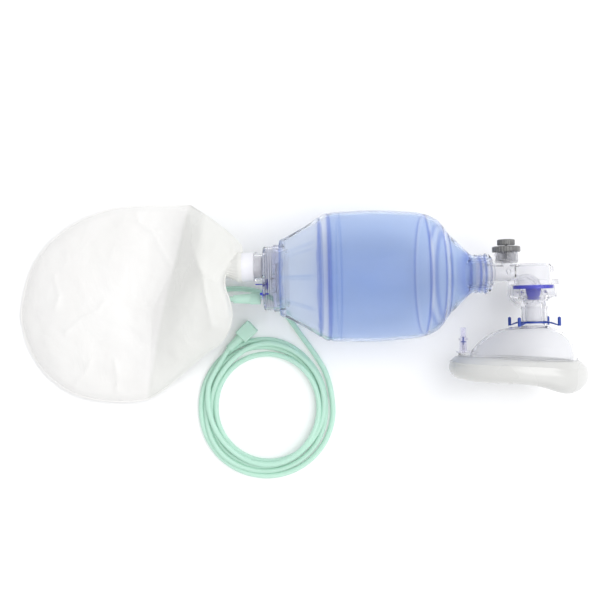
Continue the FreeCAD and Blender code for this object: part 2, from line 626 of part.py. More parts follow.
def oxygen_connector():
    """Soft flared end of the oxygen tube, pushed onto the cap's nipple."""
    nipple = at_cap(NIPPLE_Y, NIPPLE_Z)
    return turned(nipple, ALONG_X, (-20.3, 2.65), (-20.3, 5.4), (-20.8, 5.8), (-29.6, 5.8), (-31.4, 5.2),
                  (NIPPLE_END, 4.1), (NIPPLE_END, 0), (-31.0, 0), (-31.0, 2.65))


def tube_route():
    """Corner points of the oxygen tube, from its connector to where it joins the coil."""
    start = at_cap(NIPPLE_Y, NIPPLE_Z) + ALONG_X * NIPPLE_END
    floor = TUBE_DIAMETER / 2 + 0.05
    return [
        start,
        FreeCAD.Vector(-78, start.y, start.z),
        FreeCAD.Vector(-93, 4.6, 41),
        FreeCAD.Vector(-93.4, 8.6, 18),
        FreeCAD.Vector(-79, 12.2, floor),
        FreeCAD.Vector(-58, 13.4, floor),
        FreeCAD.Vector(-37, 9.8, floor),
        FreeCAD.Vector(-20, -1.5, floor),
        FreeCAD.Vector(-6, -19, floor),
        FreeCAD.Vector(8, -40, floor),
        FreeCAD.Vector(23, -61, floor),
        FreeCAD.Vector(35.4, -83, floor),
    ]


def rounded_path(points):
    """Straight runs joined by tangent arcs, each as large as its two runs allow. Prints the radii."""
    edges = []
    radii = []
    last = points[0]
    for before, corner, after in zip(points, points[1:], points[2:]):
        to_before = (before - corner).normalize()
        to_after = (after - corner).normalize()
        half_turn = (math.pi - to_before.getAngle(to_after)) / 2
        reach = 0.45 * min(before.distanceToPoint(corner), after.distanceToPoint(corner))
        radius = reach / math.tan(half_turn)
        start = corner + to_before * reach
        end = corner + to_after * reach
        inward = (to_before + to_after).normalize()
        middle = corner + inward * (radius / math.cos(half_turn) - radius)
        edges.append(Part.LineSegment(last, start).toShape())
        edges.append(Part.Arc(start, middle, end).toShape())
        radii.append(round(radius, 1))
        last = end
    edges.append(Part.LineSegment(last, points[-1]).toShape())
    print("bend radii", radii)
    return Part.Wire(edges)


def oxygen_tube():
    points = tube_route()
    path = rounded_path(points)
    section = Part.makeCircle(TUBE_DIAMETER / 2, points[0], points[1] - points[0])
    tube = path.makePipeShell([Part.Wire([section])], True, False)
    expected = math.pi * (TUBE_DIAMETER / 2) ** 2 * path.Length
    print("tube length", round(path.Length, 1), "volume over section times length", round(tube.Volume / expected, 4))
    return tube


def oxygen_coil():
    """Outer shape of the coiled length."""
    centre = FreeCAD.Vector(COIL_CENTRE_X, COIL_CENTRE_Y, 0)
    return turned(centre, ALONG_Z, (0, COIL_INNER + 4), (3, COIL_INNER), (COIL_HEIGHT - 3, COIL_INNER),
                  (COIL_HEIGHT, COIL_INNER + 4), (COIL_HEIGHT, COIL_OUTER - 4), (COIL_HEIGHT - 3, COIL_OUTER),
                  (3, COIL_OUTER), (0, COIL_OUTER - 4))


SUPPLY_START = FreeCAD.Vector(-70.4, -51.4, 7.0)
SUPPLY_HEADING = math.radians(43)


def supply_connector():
    """Flared socket with a square grip, on the tube's free end."""
    along = FreeCAD.Vector(math.cos(SUPPLY_HEADING), math.sin(SUPPLY_HEADING), 0)
    taper = turned_about(SUPPLY_START, along, (0, 0), (0, 4.0), (14, 4.8), (20, 6.0), (20, 0))
    block = Part.makeBox(18.5, 15.6, 14.0, FreeCAD.Vector(0, -7.8, -7.0))
    block = block.makeFillet(1.6, block.Edges)
    block.Placement = FreeCAD.Placement(SUPPLY_START + along * 17.5,
                                        FreeCAD.Rotation(ALONG_Z, math.degrees(SUPPLY_HEADING)))
    socket = turned_about(SUPPLY_START, along, (12, 0), (12, 1.7), (17, 1.7), (18, SUPPLY_BORE / 2),
                          (40, SUPPLY_BORE / 2), (40, 0))
    return taper.fuse(block).cut(socket)


PARTS = {
    "squeeze_bag": squeeze_bag,
    "grip_panel_left": lambda: grip_panel(1),
    "grip_panel_right": lambda: grip_panel(-1),
    "rear_cap": rear_cap,
    "rear_retaining_ring": rear_retaining_ring,
    "intake_seat": intake_seat,
    "intake_disc": intake_disc,
    "air_inlet_valve": air_inlet_valve,
    "overflow_valve": overflow_valve,
    "reservoir_connector": reservoir_connector,
    "reservoir_cuff": reservoir_cuff,
    "reservoir_bag": reservoir_bag,
    "neck_insert": neck_insert,
    "valve_housing": valve_housing,
    "duckbill_valve": duckbill_valve,
    "valve_base": valve_base,
    "exhalation_port": exhalation_port,
    "patient_connector": patient_connector,
    "relief_body": relief_body,
    "relief_disc": relief_disc,
    "relief_spring": relief_spring,
    "relief_cover": relief_cover,
    "relief_ring": relief_ring,
    "relief_knob": relief_knob,
    "manometer_cap": manometer_cap,
    "mask_shell": mask_shell,
    "mask_cushion": mask_cushion,
    "hook_ring": hook_ring,
    "cushion_valve_body": cushion_valve_body,
    "cushion_valve_plunger": cushion_valve_plunger,
    "cushion_valve_spring": cushion_valve_spring,
    "oxygen_connector": oxygen_connector,
    "oxygen_tube": oxygen_tube,
    "oxygen_coil": oxygen_coil,
    "supply_connector": supply_connector,
}

os.makedirs("parts", exist_ok=True)
for name, make in PARTS.items():
    shape = make()
    print(name, "solids", len(shape.Solids), "valid", shape.isValid(), "volume", round(shape.Volume / 1000, 2))
    shape.exportStep(f"parts/{name}.step")
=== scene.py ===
import math

import bpy
import numpy as np
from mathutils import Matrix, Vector, noise


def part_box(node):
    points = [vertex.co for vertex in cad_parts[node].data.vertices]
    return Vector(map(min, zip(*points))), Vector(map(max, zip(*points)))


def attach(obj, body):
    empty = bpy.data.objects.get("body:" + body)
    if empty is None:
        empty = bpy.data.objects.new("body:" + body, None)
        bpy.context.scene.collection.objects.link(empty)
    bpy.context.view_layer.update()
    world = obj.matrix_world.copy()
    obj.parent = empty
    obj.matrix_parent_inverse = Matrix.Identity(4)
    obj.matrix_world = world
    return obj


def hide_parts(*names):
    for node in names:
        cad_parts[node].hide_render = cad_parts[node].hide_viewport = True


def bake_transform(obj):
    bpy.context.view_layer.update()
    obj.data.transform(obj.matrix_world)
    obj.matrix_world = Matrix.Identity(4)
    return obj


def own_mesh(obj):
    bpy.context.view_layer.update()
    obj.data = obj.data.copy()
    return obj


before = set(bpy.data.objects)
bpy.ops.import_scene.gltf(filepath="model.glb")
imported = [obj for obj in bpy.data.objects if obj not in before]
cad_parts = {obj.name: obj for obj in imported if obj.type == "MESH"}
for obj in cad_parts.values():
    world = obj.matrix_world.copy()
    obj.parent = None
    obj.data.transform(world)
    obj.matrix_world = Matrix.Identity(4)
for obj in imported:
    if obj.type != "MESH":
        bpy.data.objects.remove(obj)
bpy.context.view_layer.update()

# ---- Places, read from the CAD model (metres) ----
MM = 0.001
bag_low, bag_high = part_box("squeeze_bag")
AXIS_Y = (bag_low.y + bag_high.y) / 2
AXIS_Z = (bag_low.z + bag_high.z) / 2
BAG_REAR_X = bag_low.x
connector_low, connector_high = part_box("patient_connector")
HEAD = Vector(((connector_low.x + connector_high.x) / 2, AXIS_Y, AXIS_Z))
MASK_TILT = math.radians(3.2)


# ---- Camera ----
CAMERA_LENS, CAMERA_SENSOR = 50, 36     # millimetres, as Blender's cameras take them
CAMERA_PLACE = (0.011, -0.0051, 0.910)
CAMERA_TURN = math.radians(-1.25)


def make_camera():
    """Straight above the object, for a square picture."""
    data = bpy.data.cameras.new("camera")
    data.lens = CAMERA_LENS
    data.sensor_width = CAMERA_SENSOR
    camera = bpy.data.objects.new("camera", data)
    camera.location = CAMERA_PLACE
    camera.rotation_euler = (0, 0, CAMERA_TURN)
    bpy.context.collection.objects.link(camera)
    bpy.context.scene.camera = camera


# ---- Mesh helpers ----
HARD_EDGE = math.radians(40)


def new_piece(name, points, faces):
    """A smooth-shaded mesh object, with hard edges where its faces meet sharply."""
    mesh = bpy.data.meshes.new(name)
    mesh.from_pydata([tuple(p) for p in points], [], faces)
    mesh.validate()
    mesh.shade_smooth()
    mesh.set_sharp_from_angle(angle=HARD_EDGE)
    piece = bpy.data.objects.new(name, mesh)
    bpy.context.collection.objects.link(piece)
    return piece


def grid_faces(rows, columns, closed_rows=False, closed_columns=False):
    """Quads of a grid of points that is stored row by row."""
    faces = []
    for i in range(rows if closed_rows else rows - 1):
        for j in range(columns if closed_columns else columns - 1):
            a, b = i % rows, (i + 1) % rows
            c, d = j % columns, (j + 1) % columns
            faces.append((a * columns + c, a * columns + d, b * columns + d, b * columns + c))
    return faces


def curve_through(known, values, places):
    """Values at places along a smooth line through known points, without overshoot between equal values."""
    known, values = np.asarray(known, float), np.asarray(values, float)
    steps = np.diff(known)
    rises = np.diff(values) / steps
    slopes = np.concatenate([rises[:1], (rises[:-1] + rises[1:]) / 2, rises[-1:]])
    turning = np.concatenate([[False], rises[:-1] * rises[1:] <= 0, [False]])
    slopes[turning] = 0
    i = np.clip(np.searchsorted(known, places) - 1, 0, len(steps) - 1)
    t = np.clip((places - known[i]) / steps[i], 0, 1)
    low = values[i] * (1 + 2 * t) * (1 - t) ** 2 + steps[i] * slopes[i] * t * (1 - t) ** 2
    high = values[i + 1] * t ** 2 * (3 - 2 * t) + steps[i] * slopes[i + 1] * t ** 2 * (t - 1)
    return low + high


def bump_shape(places, centre, half_width):
    """1 at the centre, falling smoothly to 0 about two half widths away."""
    return np.exp(-((places - centre) / half_width) ** 2)


# ---- Materials ----
THIN_WALL_IOR = 1.12
NOISE_LOW, NOISE_HIGH = 0.3, 0.7     # most values of a noise texture lie between these


def new_material(name, **sockets):
    """A material of one Principled shader with these constant sockets."""
    material = bpy.data.materials.new(name)
    material.use_nodes = True
    shader = material.node_tree.nodes["Principled BSDF"]
    for socket, value in sockets.items():
        shader.inputs[socket.replace("_", " ")].default_value = value
    return material


def texture(material, kind, scale, stretch=(1, 1, 1), **settings):
    """The output of a texture fixed to the object, `scale` waves to a metre."""
    tree = material.node_tree
    place = tree.nodes.new("ShaderNodeTexCoord")
    mapping = tree.nodes.new("ShaderNodeMapping")
    mapping.inputs["Scale"].default_value = stretch
    pattern = tree.nodes.new(kind)
    pattern.inputs["Scale"].default_value = scale
    for socket, value in settings.items():
        pattern.inputs[socket].default_value = value
    tree.links.new(place.outputs["Object"], mapping.inputs["Vector"])
    tree.links.new(mapping.outputs["Vector"], pattern.inputs["Vector"])
    return pattern.outputs[0]


def vary(material, source, socket, low, high):
    """A shader socket that runs from low to high with a texture."""
    tree = material.node_tree
    spread = tree.nodes.new("ShaderNodeMapRange")
    spread.inputs["From Min"].default_value = NOISE_LOW
    spread.inputs["From Max"].default_value = NOISE_HIGH
    spread.inputs["To Min"].default_value = low
    spread.inputs["To Max"].default_value = high
    tree.links.new(source, spread.inputs["Value"])
    tree.links.new(spread.outputs["Result"], tree.nodes["Principled BSDF"].inputs[socket])


def colour_ramp(tree, source, stops):
    """Colours over a value. Each stop is (value, colour)."""
    ramp = tree.nodes.new("ShaderNodeValToRGB")
    elements = ramp.color_ramp.elements
    for i, (place, colour) in enumerate(stops):
        stop = elements[i] if i < 2 else elements.new(1.0)
        stop.position = place
        stop.color = (*colour, 1)
    tree.links.new(source, ramp.inputs["Fac"])
    return ramp.outputs["Color"]


def tint(material, source, low, high):
    """A base colour that runs from low to high with a texture."""
    tree = material.node_tree
    colour = colour_ramp(tree, source, [(NOISE_LOW, low), (NOISE_HIGH, high)])
    tree.links.new(colour, tree.nodes["Principled BSDF"].inputs["Base Color"])


def roughen(material, source, depth, strength=1.0):
    """Bump of this depth in metres, on top of any that the material has already."""
    tree = material.node_tree
    bump = tree.nodes.new("ShaderNodeBump")
    bump.inputs["Distance"].default_value = depth
    bump.inputs["Strength"].default_value = strength
    normal = tree.nodes["Principled BSDF"].inputs["Normal"]
    if normal.links:
        tree.links.new(normal.links[0].from_socket, bump.inputs["Normal"])
    tree.links.new(source, bump.inputs["Height"])
    tree.links.new(bump.outputs["Normal"], normal)


# A mix node has sockets for each kind of data. These are its factor and two colours, and the colour it gives.
MIX_COLOUR_INPUTS, MIX_COLOUR_OUTPUT = (0, 6, 7), 2


def multiply_base(material, factor_source, colour_source=None, colour=(1, 1, 1)):
    """Multiplies the base colour by a colour, fully or as far as the factor says."""
    tree = material.node_tree
    base = tree.nodes["Principled BSDF"].inputs["Base Color"]
    mix = tree.nodes.new("ShaderNodeMix")
    mix.data_type = "RGBA"
    mix.blend_type = "MULTIPLY"
    factor, under, over = [mix.inputs[i] for i in MIX_COLOUR_INPUTS]
    factor.default_value = 1.0
    over.default_value = (*colour, 1)
    tree.links.new(base.links[0].from_socket, under)
    if factor_source:
        tree.links.new(factor_source, factor)
    if colour_source:
        tree.links.new(colour_source, over)
    tree.links.new(mix.outputs[MIX_COLOUR_OUTPUT], base)


def see_through(name, pale, deep, edge, rough_low, rough_high, clearness=1.0):
    """Moulded see-through plastic, with faint flow marks in its colour, gloss and surface.

    Its index of refraction is that of a thin wall, which hardly bends what is seen through it, and its gloss
    takes the colour that the plastic has at its edges.
    """
    material = new_material(name, Transmission_Weight=clearness, IOR=THIN_WALL_IOR, Coat_Weight=0.12,
                            Coat_Roughness=0.08, Specular_Tint=(*edge, 1))
    flow = texture(material, "ShaderNodeTexNoise", scale=55, stretch=(1, 1, 2.5), Detail=3.0)
    tint(material, flow, deep, pale)
    vary(material, flow, "Roughness", rough_low, rough_high)
    waviness = texture(material, "ShaderNodeTexNoise", scale=120, Detail=1.0)
    roughen(material, waviness, depth=0.3 * MM, strength=0.12)
    return material


def moulded(name, pale, deep, rough_low, rough_high, **sockets):
    """Solid moulded plastic or rubber, with a fine matt grain."""
    material = new_material(name, **sockets)
    flow = texture(material, "ShaderNodeTexNoise", scale=90, Detail=4.0)
    tint(material, flow, deep, pale)
    vary(material, flow, "Roughness", rough_low, rough_high)
    grain = texture(material, "ShaderNodeTexNoise", scale=1400, Detail=3.0)
    roughen(material, grain, depth=0.1 * MM, strength=0.3)
    return material


def shade_along_x(material, start, stops, turn=0.0):
    """Multiplies the base colour by shades along X, or along a line turned from X. The shades hold tones of
    colour, painted shade and painted highlight.

    The start is in metres, and each stop is (millimetres from the start, colour).
    """
    length = stops[-1][0]
    tree = material.node_tree
    place = tree.nodes.new("ShaderNodeTexCoord")
    turned = tree.nodes.new("ShaderNodeMapping")
    turned.inputs["Rotation"].default_value = (0, 0, turn)
    split = tree.nodes.new("ShaderNodeSeparateXYZ")
    spread = tree.nodes.new("ShaderNodeMapRange")
    spread.inputs["From Min"].default_value = start
    spread.inputs["From Max"].default_value = start + length * MM
    tree.links.new(place.outputs["Object"], turned.inputs["Vector"])
    tree.links.new(turned.outputs["Vector"], split.inputs["Vector"])
    tree.links.new(split.outputs["X"], spread.inputs["Value"])
    shades = [(distance / length, colour) for distance, colour in stops]
    multiply_base(material, None, colour_ramp(tree, spread.outputs["Result"], shades))


# Painted shade: the film is made greyer on the slope up to the neck, to the right of a crease that leans by
# CREASE_TURN
FLAT_WHITE, SLOPE_PAINTED_SHADE = (1, 1, 1), (0.91, 0.92, 0.905)
CREASE_TURN = math.radians(14)
FILM_PAINTED_SHADE_START = -0.3
FILM_PAINTED_SHADE = [(0, FLAT_WHITE), (170, FLAT_WHITE), (174, SLOPE_PAINTED_SHADE), (262, SLOPE_PAINTED_SHADE)]


def film_material():
    """Thin milky film, glossy where it is stretched and hazy where it is crumpled, with painted shade on its
    slope.
    """
    material = new_material("film", Specular_IOR_Level=0.35, Transmission_Weight=0.1, IOR=THIN_WALL_IOR)
    haze = texture(material, "ShaderNodeTexNoise", scale=14, Detail=5.0)
    tint(material, haze, (0.855, 0.846, 0.828), (0.885, 0.879, 0.866))
    # Painted shade: greyer on the slope, right of the leaning crease
    shade_along_x(material, FILM_PAINTED_SHADE_START, FILM_PAINTED_SHADE, CREASE_TURN)
    vary(material, haze, "Roughness", 0.3, 0.45)
    crumple = texture(material, "ShaderNodeTexNoise", scale=28, stretch=(1, 0.6, 1), Detail=6.0,
                      Distortion=0.8)
    roughen(material, crumple, depth=4 * MM, strength=0.4)
    return material


# ---- Oxygen tube ----
TUBE_RADIUS = 2.75 * MM
# Route from the connector to the coil: x, y, z
TUBE_ROUTE = [
    (-60.4, 1.4, 55.5), (-78, 1.4, 55.5), (-93, 4.6, 41), (-93.4, 8.6, 18), (-79, 12.2, 2.8),
    (-58, 13.4, 2.8), (-37, 9.8, 2.8), (-20, -1.5, 2.8), (-6, -19, 2.8), (8, -40, 2.8), (23, -61, 2.8),
    (35.4, -83, 2.8),
]
COIL_CENTRE = (-31.0, -115.4)
# Each turn, clockwise from the right: radius and height at every KEY_ANGLE degrees
KEY_ANGLE = 45
COIL_TURNS = [
    [(71.4, 2.8), (73.2, 2.8), (74.0, 2.8), (73.4, 2.8), (71.4, 2.8), (72.8, 2.8), (73.9, 2.8), (67.2, 2.8)],
    [(63.4, 2.8), (66.4, 2.8), (68.7, 2.8), (69.3, 7.6), (66.0, 2.8), (67.4, 2.8), (65.9, 2.8), (60.9, 2.8)],
    [(55.9, 2.8), (59.8, 2.8), (63.4, 2.8), (65.3, 2.8), (60.6, 3.0), (62.0, 7.6), (69.9, 8.1), (65.6, 7.9)],
    [(61.5, 7.9), (59.0, 8.2), (58.0, 3.3), (56.2, 2.8), (55.2, 2.8), (56.8, 2.8), (57.9, 2.8), (57.6, 8.0)],
    [(56.0, 8.8), (57.2, 13.0), (60.6, 8.8), (59.0, 7.8), (62.4, 8.2), (72.6, 8.8)],
]
POINTS_A_TURN = 24
SUPPLY_START = (-70.4, -51.4, 7.0)


def coil_points():
    """Points of the coil's turns, between the loose stretch and the supply connector."""
    key_radii, key_heights = zip(*[key for turn in COIL_TURNS for key in turn])
    key_angles = [KEY_ANGLE * i for i in range(len(key_radii))]
    last = key_angles[-1]
    count = round(last / 360 * POINTS_A_TURN)
    angles = last * np.arange(count) / count
    radii = curve_through(key_angles, key_radii, angles)
    heights = curve_through(key_angles, key_heights, angles)
    points = []
    for angle, radius, height in zip(angles, radii, heights):
        x = COIL_CENTRE[0] + radius * math.cos(math.radians(-angle))
        y = COIL_CENTRE[1] + radius * math.sin(math.radians(-angle))
        points.append((x, y, height))
    return points


def make_tube():
    """The oxygen tube as one cord: its loose stretch, its coil and its way into the supply connector."""
    data = bpy.data.curves.new("oxygen_line", "CURVE")
    data.dimensions = "3D"
    data.bevel_depth = TUBE_RADIUS
    data.bevel_resolution = 6
    data.resolution_u = 8
    data.use_fill_caps = True
    points = TUBE_ROUTE + coil_points() + [SUPPLY_START]
    spline = data.splines.new("NURBS")
    spline.points.add(len(points) - 1)
    for point, place in zip(spline.points, points):
        point.co = (*[v * MM for v in place], 1)
    spline.order_u = 3
    spline.use_endpoint_u = True
    tube = bpy.data.objects.new("oxygen_line", data)
    bpy.context.collection.objects.link(tube)
    tube.data.materials.append(green_vinyl())
    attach(tube, "bag")
    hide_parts("oxygen_tube", "oxygen_coil")


def green_vinyl():
    """Pale green vinyl, which the tube and both its connectors share."""
    if "green_vinyl" in bpy.data.materials:
        return bpy.data.materials["green_vinyl"]
    return see_through("green_vinyl", pale=(0.91, 0.99, 0.945), deep=(0.85, 0.975, 0.91),
                       edge=(0.62, 0.89, 0.75), rough_low=0.10, rough_high=0.2, clearness=0.75)


# ---- Squeeze bag ----
MOUTH_DEPTH, NECK_START, BAG_LENGTH = 6, 190, 206.5
# Outside of the bag from its rear rim to the end of its neck: distance from the rear edge, radius
BAG_OUTSIDE = [
    (0, 37.5), (1.5, 38.6), (12, 44.6), (24, 51.0), (36, 57.8), (44.5, 62.8), (46.5, 63.4), (70, 65.0),
    (93, 65.5), (118, 64.2), (144, 60.9), (152, 57.6), (158, 53.4), (163, 47.4), (168, 40.4), (174, 34.8),
    (180, 28.9), (186, 23.0), (NECK_START, 19.8), (192.5, 18.6), (195, 19.4), (197.8, 18.4), (200.6, 19.5),
    (203, 18.4), (205, 20.2), (BAG_LENGTH, 19.6),
]
# Inside, from the neck back to the rear mouth
BAG_INSIDE = [
    (BAG_LENGTH, 16.2), (NECK_START, 16.2), (186, 20.2), (174, 31.2), (163, 43.4), (158, 49.8), (144, 58.1),
    (118, 61.4), (93, 62.7), (70, 62.2), (46.5, 60.6), (44.5, 59.4), (24, 47.6), (MOUTH_DEPTH, 37.4),
]
BAG_MOUTH = [(MOUTH_DEPTH, 37.4), (MOUTH_DEPTH, 28.9), (0, 28.9), (0, 37.5)]
# Moulded rings: place, half width and how far they sink into the wall
BAG_RINGS = [
    (40.3, 0.9, 0.9), (49.6, 1.2, 0.7), (58.5, 1.0, 0.25), (62.0, 0.8, 0.15), (142.0, 1.4, 0.3),
    (158.8, 1.0, 0.8), (164.6, 1.0, 0.9),
]
FLUTE_COUNT, FLUTE_DEPTH = 10, 1.5
FLUTE_START, FLUTE_END = 3.0, 37.0
FLUTE_TIP = 7.0                         # length of the rounded tip of a flute
FLUTE_FULLNESS = 0.6                    # how soon a flute reaches its depth; 1 is a plain half wave
HALF_BAG_COLUMNS = 96
PARTING_GROOVE, PARTING_ANGLE = 0.12, 0.012     # depth, and half width in radians round the axis
# Steps of the outline: along the bag, along its neck, over a ring and inside, and how far a ring reaches
BODY_STEP, NECK_STEP, RING_STEP, INSIDE_STEP = 1.0, 0.5, 0.4, 2.0
RING_REACH = 2.5


def flute_depth(u, angle):
    """Finger flutes of the rear cone: hollow facets that meet in ridges and end in a rounded tip."""
    across = np.abs(((angle / (2 * math.pi) * FLUTE_COUNT) % 1) * 2 - 1)
    tip = FLUTE_END - FLUTE_TIP * across ** 2
    along = np.clip((u - FLUTE_START) / (tip - FLUTE_START), 0, 1)
    return FLUTE_DEPTH * (1 - across ** 2) * np.sin(math.pi * np.sqrt(along)) ** FLUTE_FULLNESS


def bag_profile():
    """Closed outline of the wall: outside forwards, inside back, then round the mouth."""
    body = np.arange(0, NECK_START, BODY_STEP)
    neck = np.arange(NECK_START, BAG_LENGTH + NECK_STEP / 2, NECK_STEP)
    rings = [np.arange(place - RING_REACH, place + RING_REACH, RING_STEP) for place, _, _ in BAG_RINGS]
    outside = np.unique(np.concatenate([body, neck, *rings]))
    radii = curve_through(*zip(*BAG_OUTSIDE), outside)
    for place, half_width, depth in BAG_RINGS:
        radii = radii - depth * bump_shape(outside, place, half_width)
    inside = np.arange(BAG_LENGTH, MOUTH_DEPTH, -INSIDE_STEP)
    inner = curve_through(*zip(*BAG_INSIDE[::-1]), inside)
    profile = list(zip(outside, radii)) + list(zip(inside, inner))
    return np.array(profile + BAG_MOUTH)


def make_half_bag(side, body):
    """Half of the bag's wall, split at its moulding line."""
    profile = bag_profile()
    u, radius = profile[:, :1], profile[:, 1:]
    angle = np.linspace(0, math.pi, HALF_BAG_COLUMNS + 1)[None]
    radius = radius - flute_depth(u, angle * side)
    for parting in (0, math.pi):
        radius = radius - PARTING_GROOVE * bump_shape(angle, parting, PARTING_ANGLE)
    x = BAG_REAR_X + u * MM + 0 * angle
    y = AXIS_Y + side * radius * np.sin(angle) * MM
    z = AXIS_Z + radius * np.cos(angle) * MM
    points = np.stack([x, y, z], axis=-1).reshape(-1, 3)
    faces = grid_faces(len(profile), HALF_BAG_COLUMNS + 1, closed_rows=True)
    if side > 0:
        faces = [face[::-1] for face in faces]
    half = new_piece("bag_half_" + body.split("_")[-1], points, faces)
    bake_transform(half)
    return half


# How much of each colour the wall lets through, along the bag: pale rear cone, darker belly; at the rear rim,
# the moulded rings and the neck ribs, painted shade in dark lines and painted highlight in pale bands
CONE, BELLY, NECK = (0.925, 0.958, 0.998), (0.74, 0.825, 0.963), (0.70, 0.80, 0.96)
PAINTED_RING_SHADE, SOFT_PAINTED_RING_SHADE, PAINTED_HIGHLIGHT_BAND = (0.34, 0.44, 0.82), (0.57, 0.68, 0.93), (0.93, 0.955, 0.99)
BAG_TONES_AND_PAINTED_LIGHT = [
    (0, PAINTED_RING_SHADE), (4, CONE), (37.5, CONE), (39.6, PAINTED_RING_SHADE), (41.4, PAINTED_HIGHLIGHT_BAND), (45.2, PAINTED_HIGHLIGHT_BAND), (48.4, PAINTED_RING_SHADE),
    (51.0, BELLY), (57.5, BELLY), (59.0, SOFT_PAINTED_RING_SHADE), (60.5, BELLY), (140.5, BELLY), (142.3, PAINTED_RING_SHADE),
    (144.5, PAINTED_HIGHLIGHT_BAND), (146.5, BELLY), (156.3, BELLY), (158.3, PAINTED_RING_SHADE), (160.0, PAINTED_HIGHLIGHT_BAND), (162.0, PAINTED_HIGHLIGHT_BAND),
    (164.4, PAINTED_RING_SHADE), (167.0, BELLY), (181, NECK), (187, PAINTED_RING_SHADE), (191, NECK), (195, PAINTED_HIGHLIGHT_BAND), (197.8, PAINTED_RING_SHADE),
    (200.4, PAINTED_HIGHLIGHT_BAND), (203, PAINTED_RING_SHADE), (205, PAINTED_HIGHLIGHT_BAND),
]
# Painted shade, a darker line where two flutes meet: colour, half width as a share of a flute, and length of
# its fade
FLUTE_RIDGE_PAINTED_SHADE, FLUTE_LINE_WIDTH, FLUTE_LINE_FADE = (0.80, 0.86, 0.96), 0.07, 8


def paint_flute_ridge_shade(material):
    """Painted shade: darker lines where two flutes of the rear cone meet."""
    tree = material.node_tree
    place = tree.nodes.new("ShaderNodeTexCoord")
    centred = tree.nodes.new("ShaderNodeMapping")
    centred.vector_type = "TEXTURE"
    centred.inputs["Location"].default_value = (BAG_REAR_X, AXIS_Y, AXIS_Z)
    centred.inputs["Rotation"].default_value = (0, math.pi / 2, 0)
    angle = tree.nodes.new("ShaderNodeTexGradient")
    angle.gradient_type = "RADIAL"
    repeat = tree.nodes.new("ShaderNodeMath")
    repeat.operation = "PINGPONG"
    repeat.inputs[1].default_value = 0.5 / FLUTE_COUNT
    line = tree.nodes.new("ShaderNodeMapRange")
    line.inputs["From Min"].default_value = FLUTE_LINE_WIDTH / FLUTE_COUNT
    line.inputs["From Max"].default_value = 0
    split = tree.nodes.new("ShaderNodeSeparateXYZ")
    on_cone = tree.nodes.new("ShaderNodeMapRange")
    on_cone.inputs["From Min"].default_value = BAG_REAR_X + FLUTE_END * MM
    on_cone.inputs["From Max"].default_value = BAG_REAR_X + (FLUTE_END - FLUTE_LINE_FADE) * MM
    both = tree.nodes.new("ShaderNodeMath")
    both.operation = "MULTIPLY"
    tree.links.new(place.outputs["Object"], centred.inputs["Vector"])
    tree.links.new(place.outputs["Object"], split.inputs["Vector"])
    tree.links.new(centred.outputs["Vector"], angle.inputs["Vector"])
    tree.links.new(angle.outputs["Fac"], repeat.inputs[0])
    tree.links.new(repeat.outputs[0], line.inputs["Value"])
    tree.links.new(split.outputs["X"], on_cone.inputs["Value"])
    tree.links.new(line.outputs["Result"], both.inputs[0])
    tree.links.new(on_cone.outputs["Result"], both.inputs[1])
    multiply_base(material, both.outputs[0], colour=FLUTE_RIDGE_PAINTED_SHADE)


def make_bag():
    """The bag's wall in two halves, in place of the CAD bag and its two grip panels."""
    vinyl = see_through("blue_vinyl", pale=(0.97, 0.975, 0.99), deep=(0.94, 0.95, 0.98),
                        edge=(0.50, 0.58, 0.88), rough_low=0.06, rough_high=0.14, clearness=0.92)
    # The wall's colour along the bag, with painted shade and painted highlight at its rim, rings and ribs
    shade_along_x(vinyl, BAG_REAR_X, BAG_TONES_AND_PAINTED_LIGHT)
    # Painted shade along the ridges of the rear cone's flutes
    paint_flute_ridge_shade(vinyl)
    for side, body in ((1, "grip_left"), (-1, "grip_right")):
        half = make_half_bag(side, body)
        half.data.materials.append(vinyl)
        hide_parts("squeeze_bag", "grip_panel_" + body.split("_")[-1])


# ---- Reservoir ----
# Welded edge of the film bag, from the cuff round over the far end and back: x, y
FILM_EDGE = [
    (-49.8, 46), (-49.3, 53), (-53.5, 59.7), (-66.5, 72), (-84, 86), (-98, 96), (-107, 102.5), (-113, 103),
    (-130, 103.4), (-152, 104.2), (-172, 103.4), (-190.5, 101.8), (-207.6, 97.3), (-224.6, 91.2),
    (-240.2, 82.4), (-256, 71), (-269.6, 57), (-281, 40), (-288, 22), (-292.2, 4), (-293.2, -14),
    (-289.5, -37), (-281, -56), (-268.5, -73.5), (-252.5, -87.3), (-235, -97.2), (-215, -102.9),
    (-196, -105.3), (-177.3, -106), (-158.8, -103.6), (-141.5, -94.5), (-126.2, -83), (-107.3, -67),
    (-90.4, -53.7), (-76.4, -44.6), (-66.5, -32), (-61.6, -19), (-61.0, -9), (-63, 2.5), (-66.2, 13),
    (-66, 23), (-62, 31), (-55, 38),
]
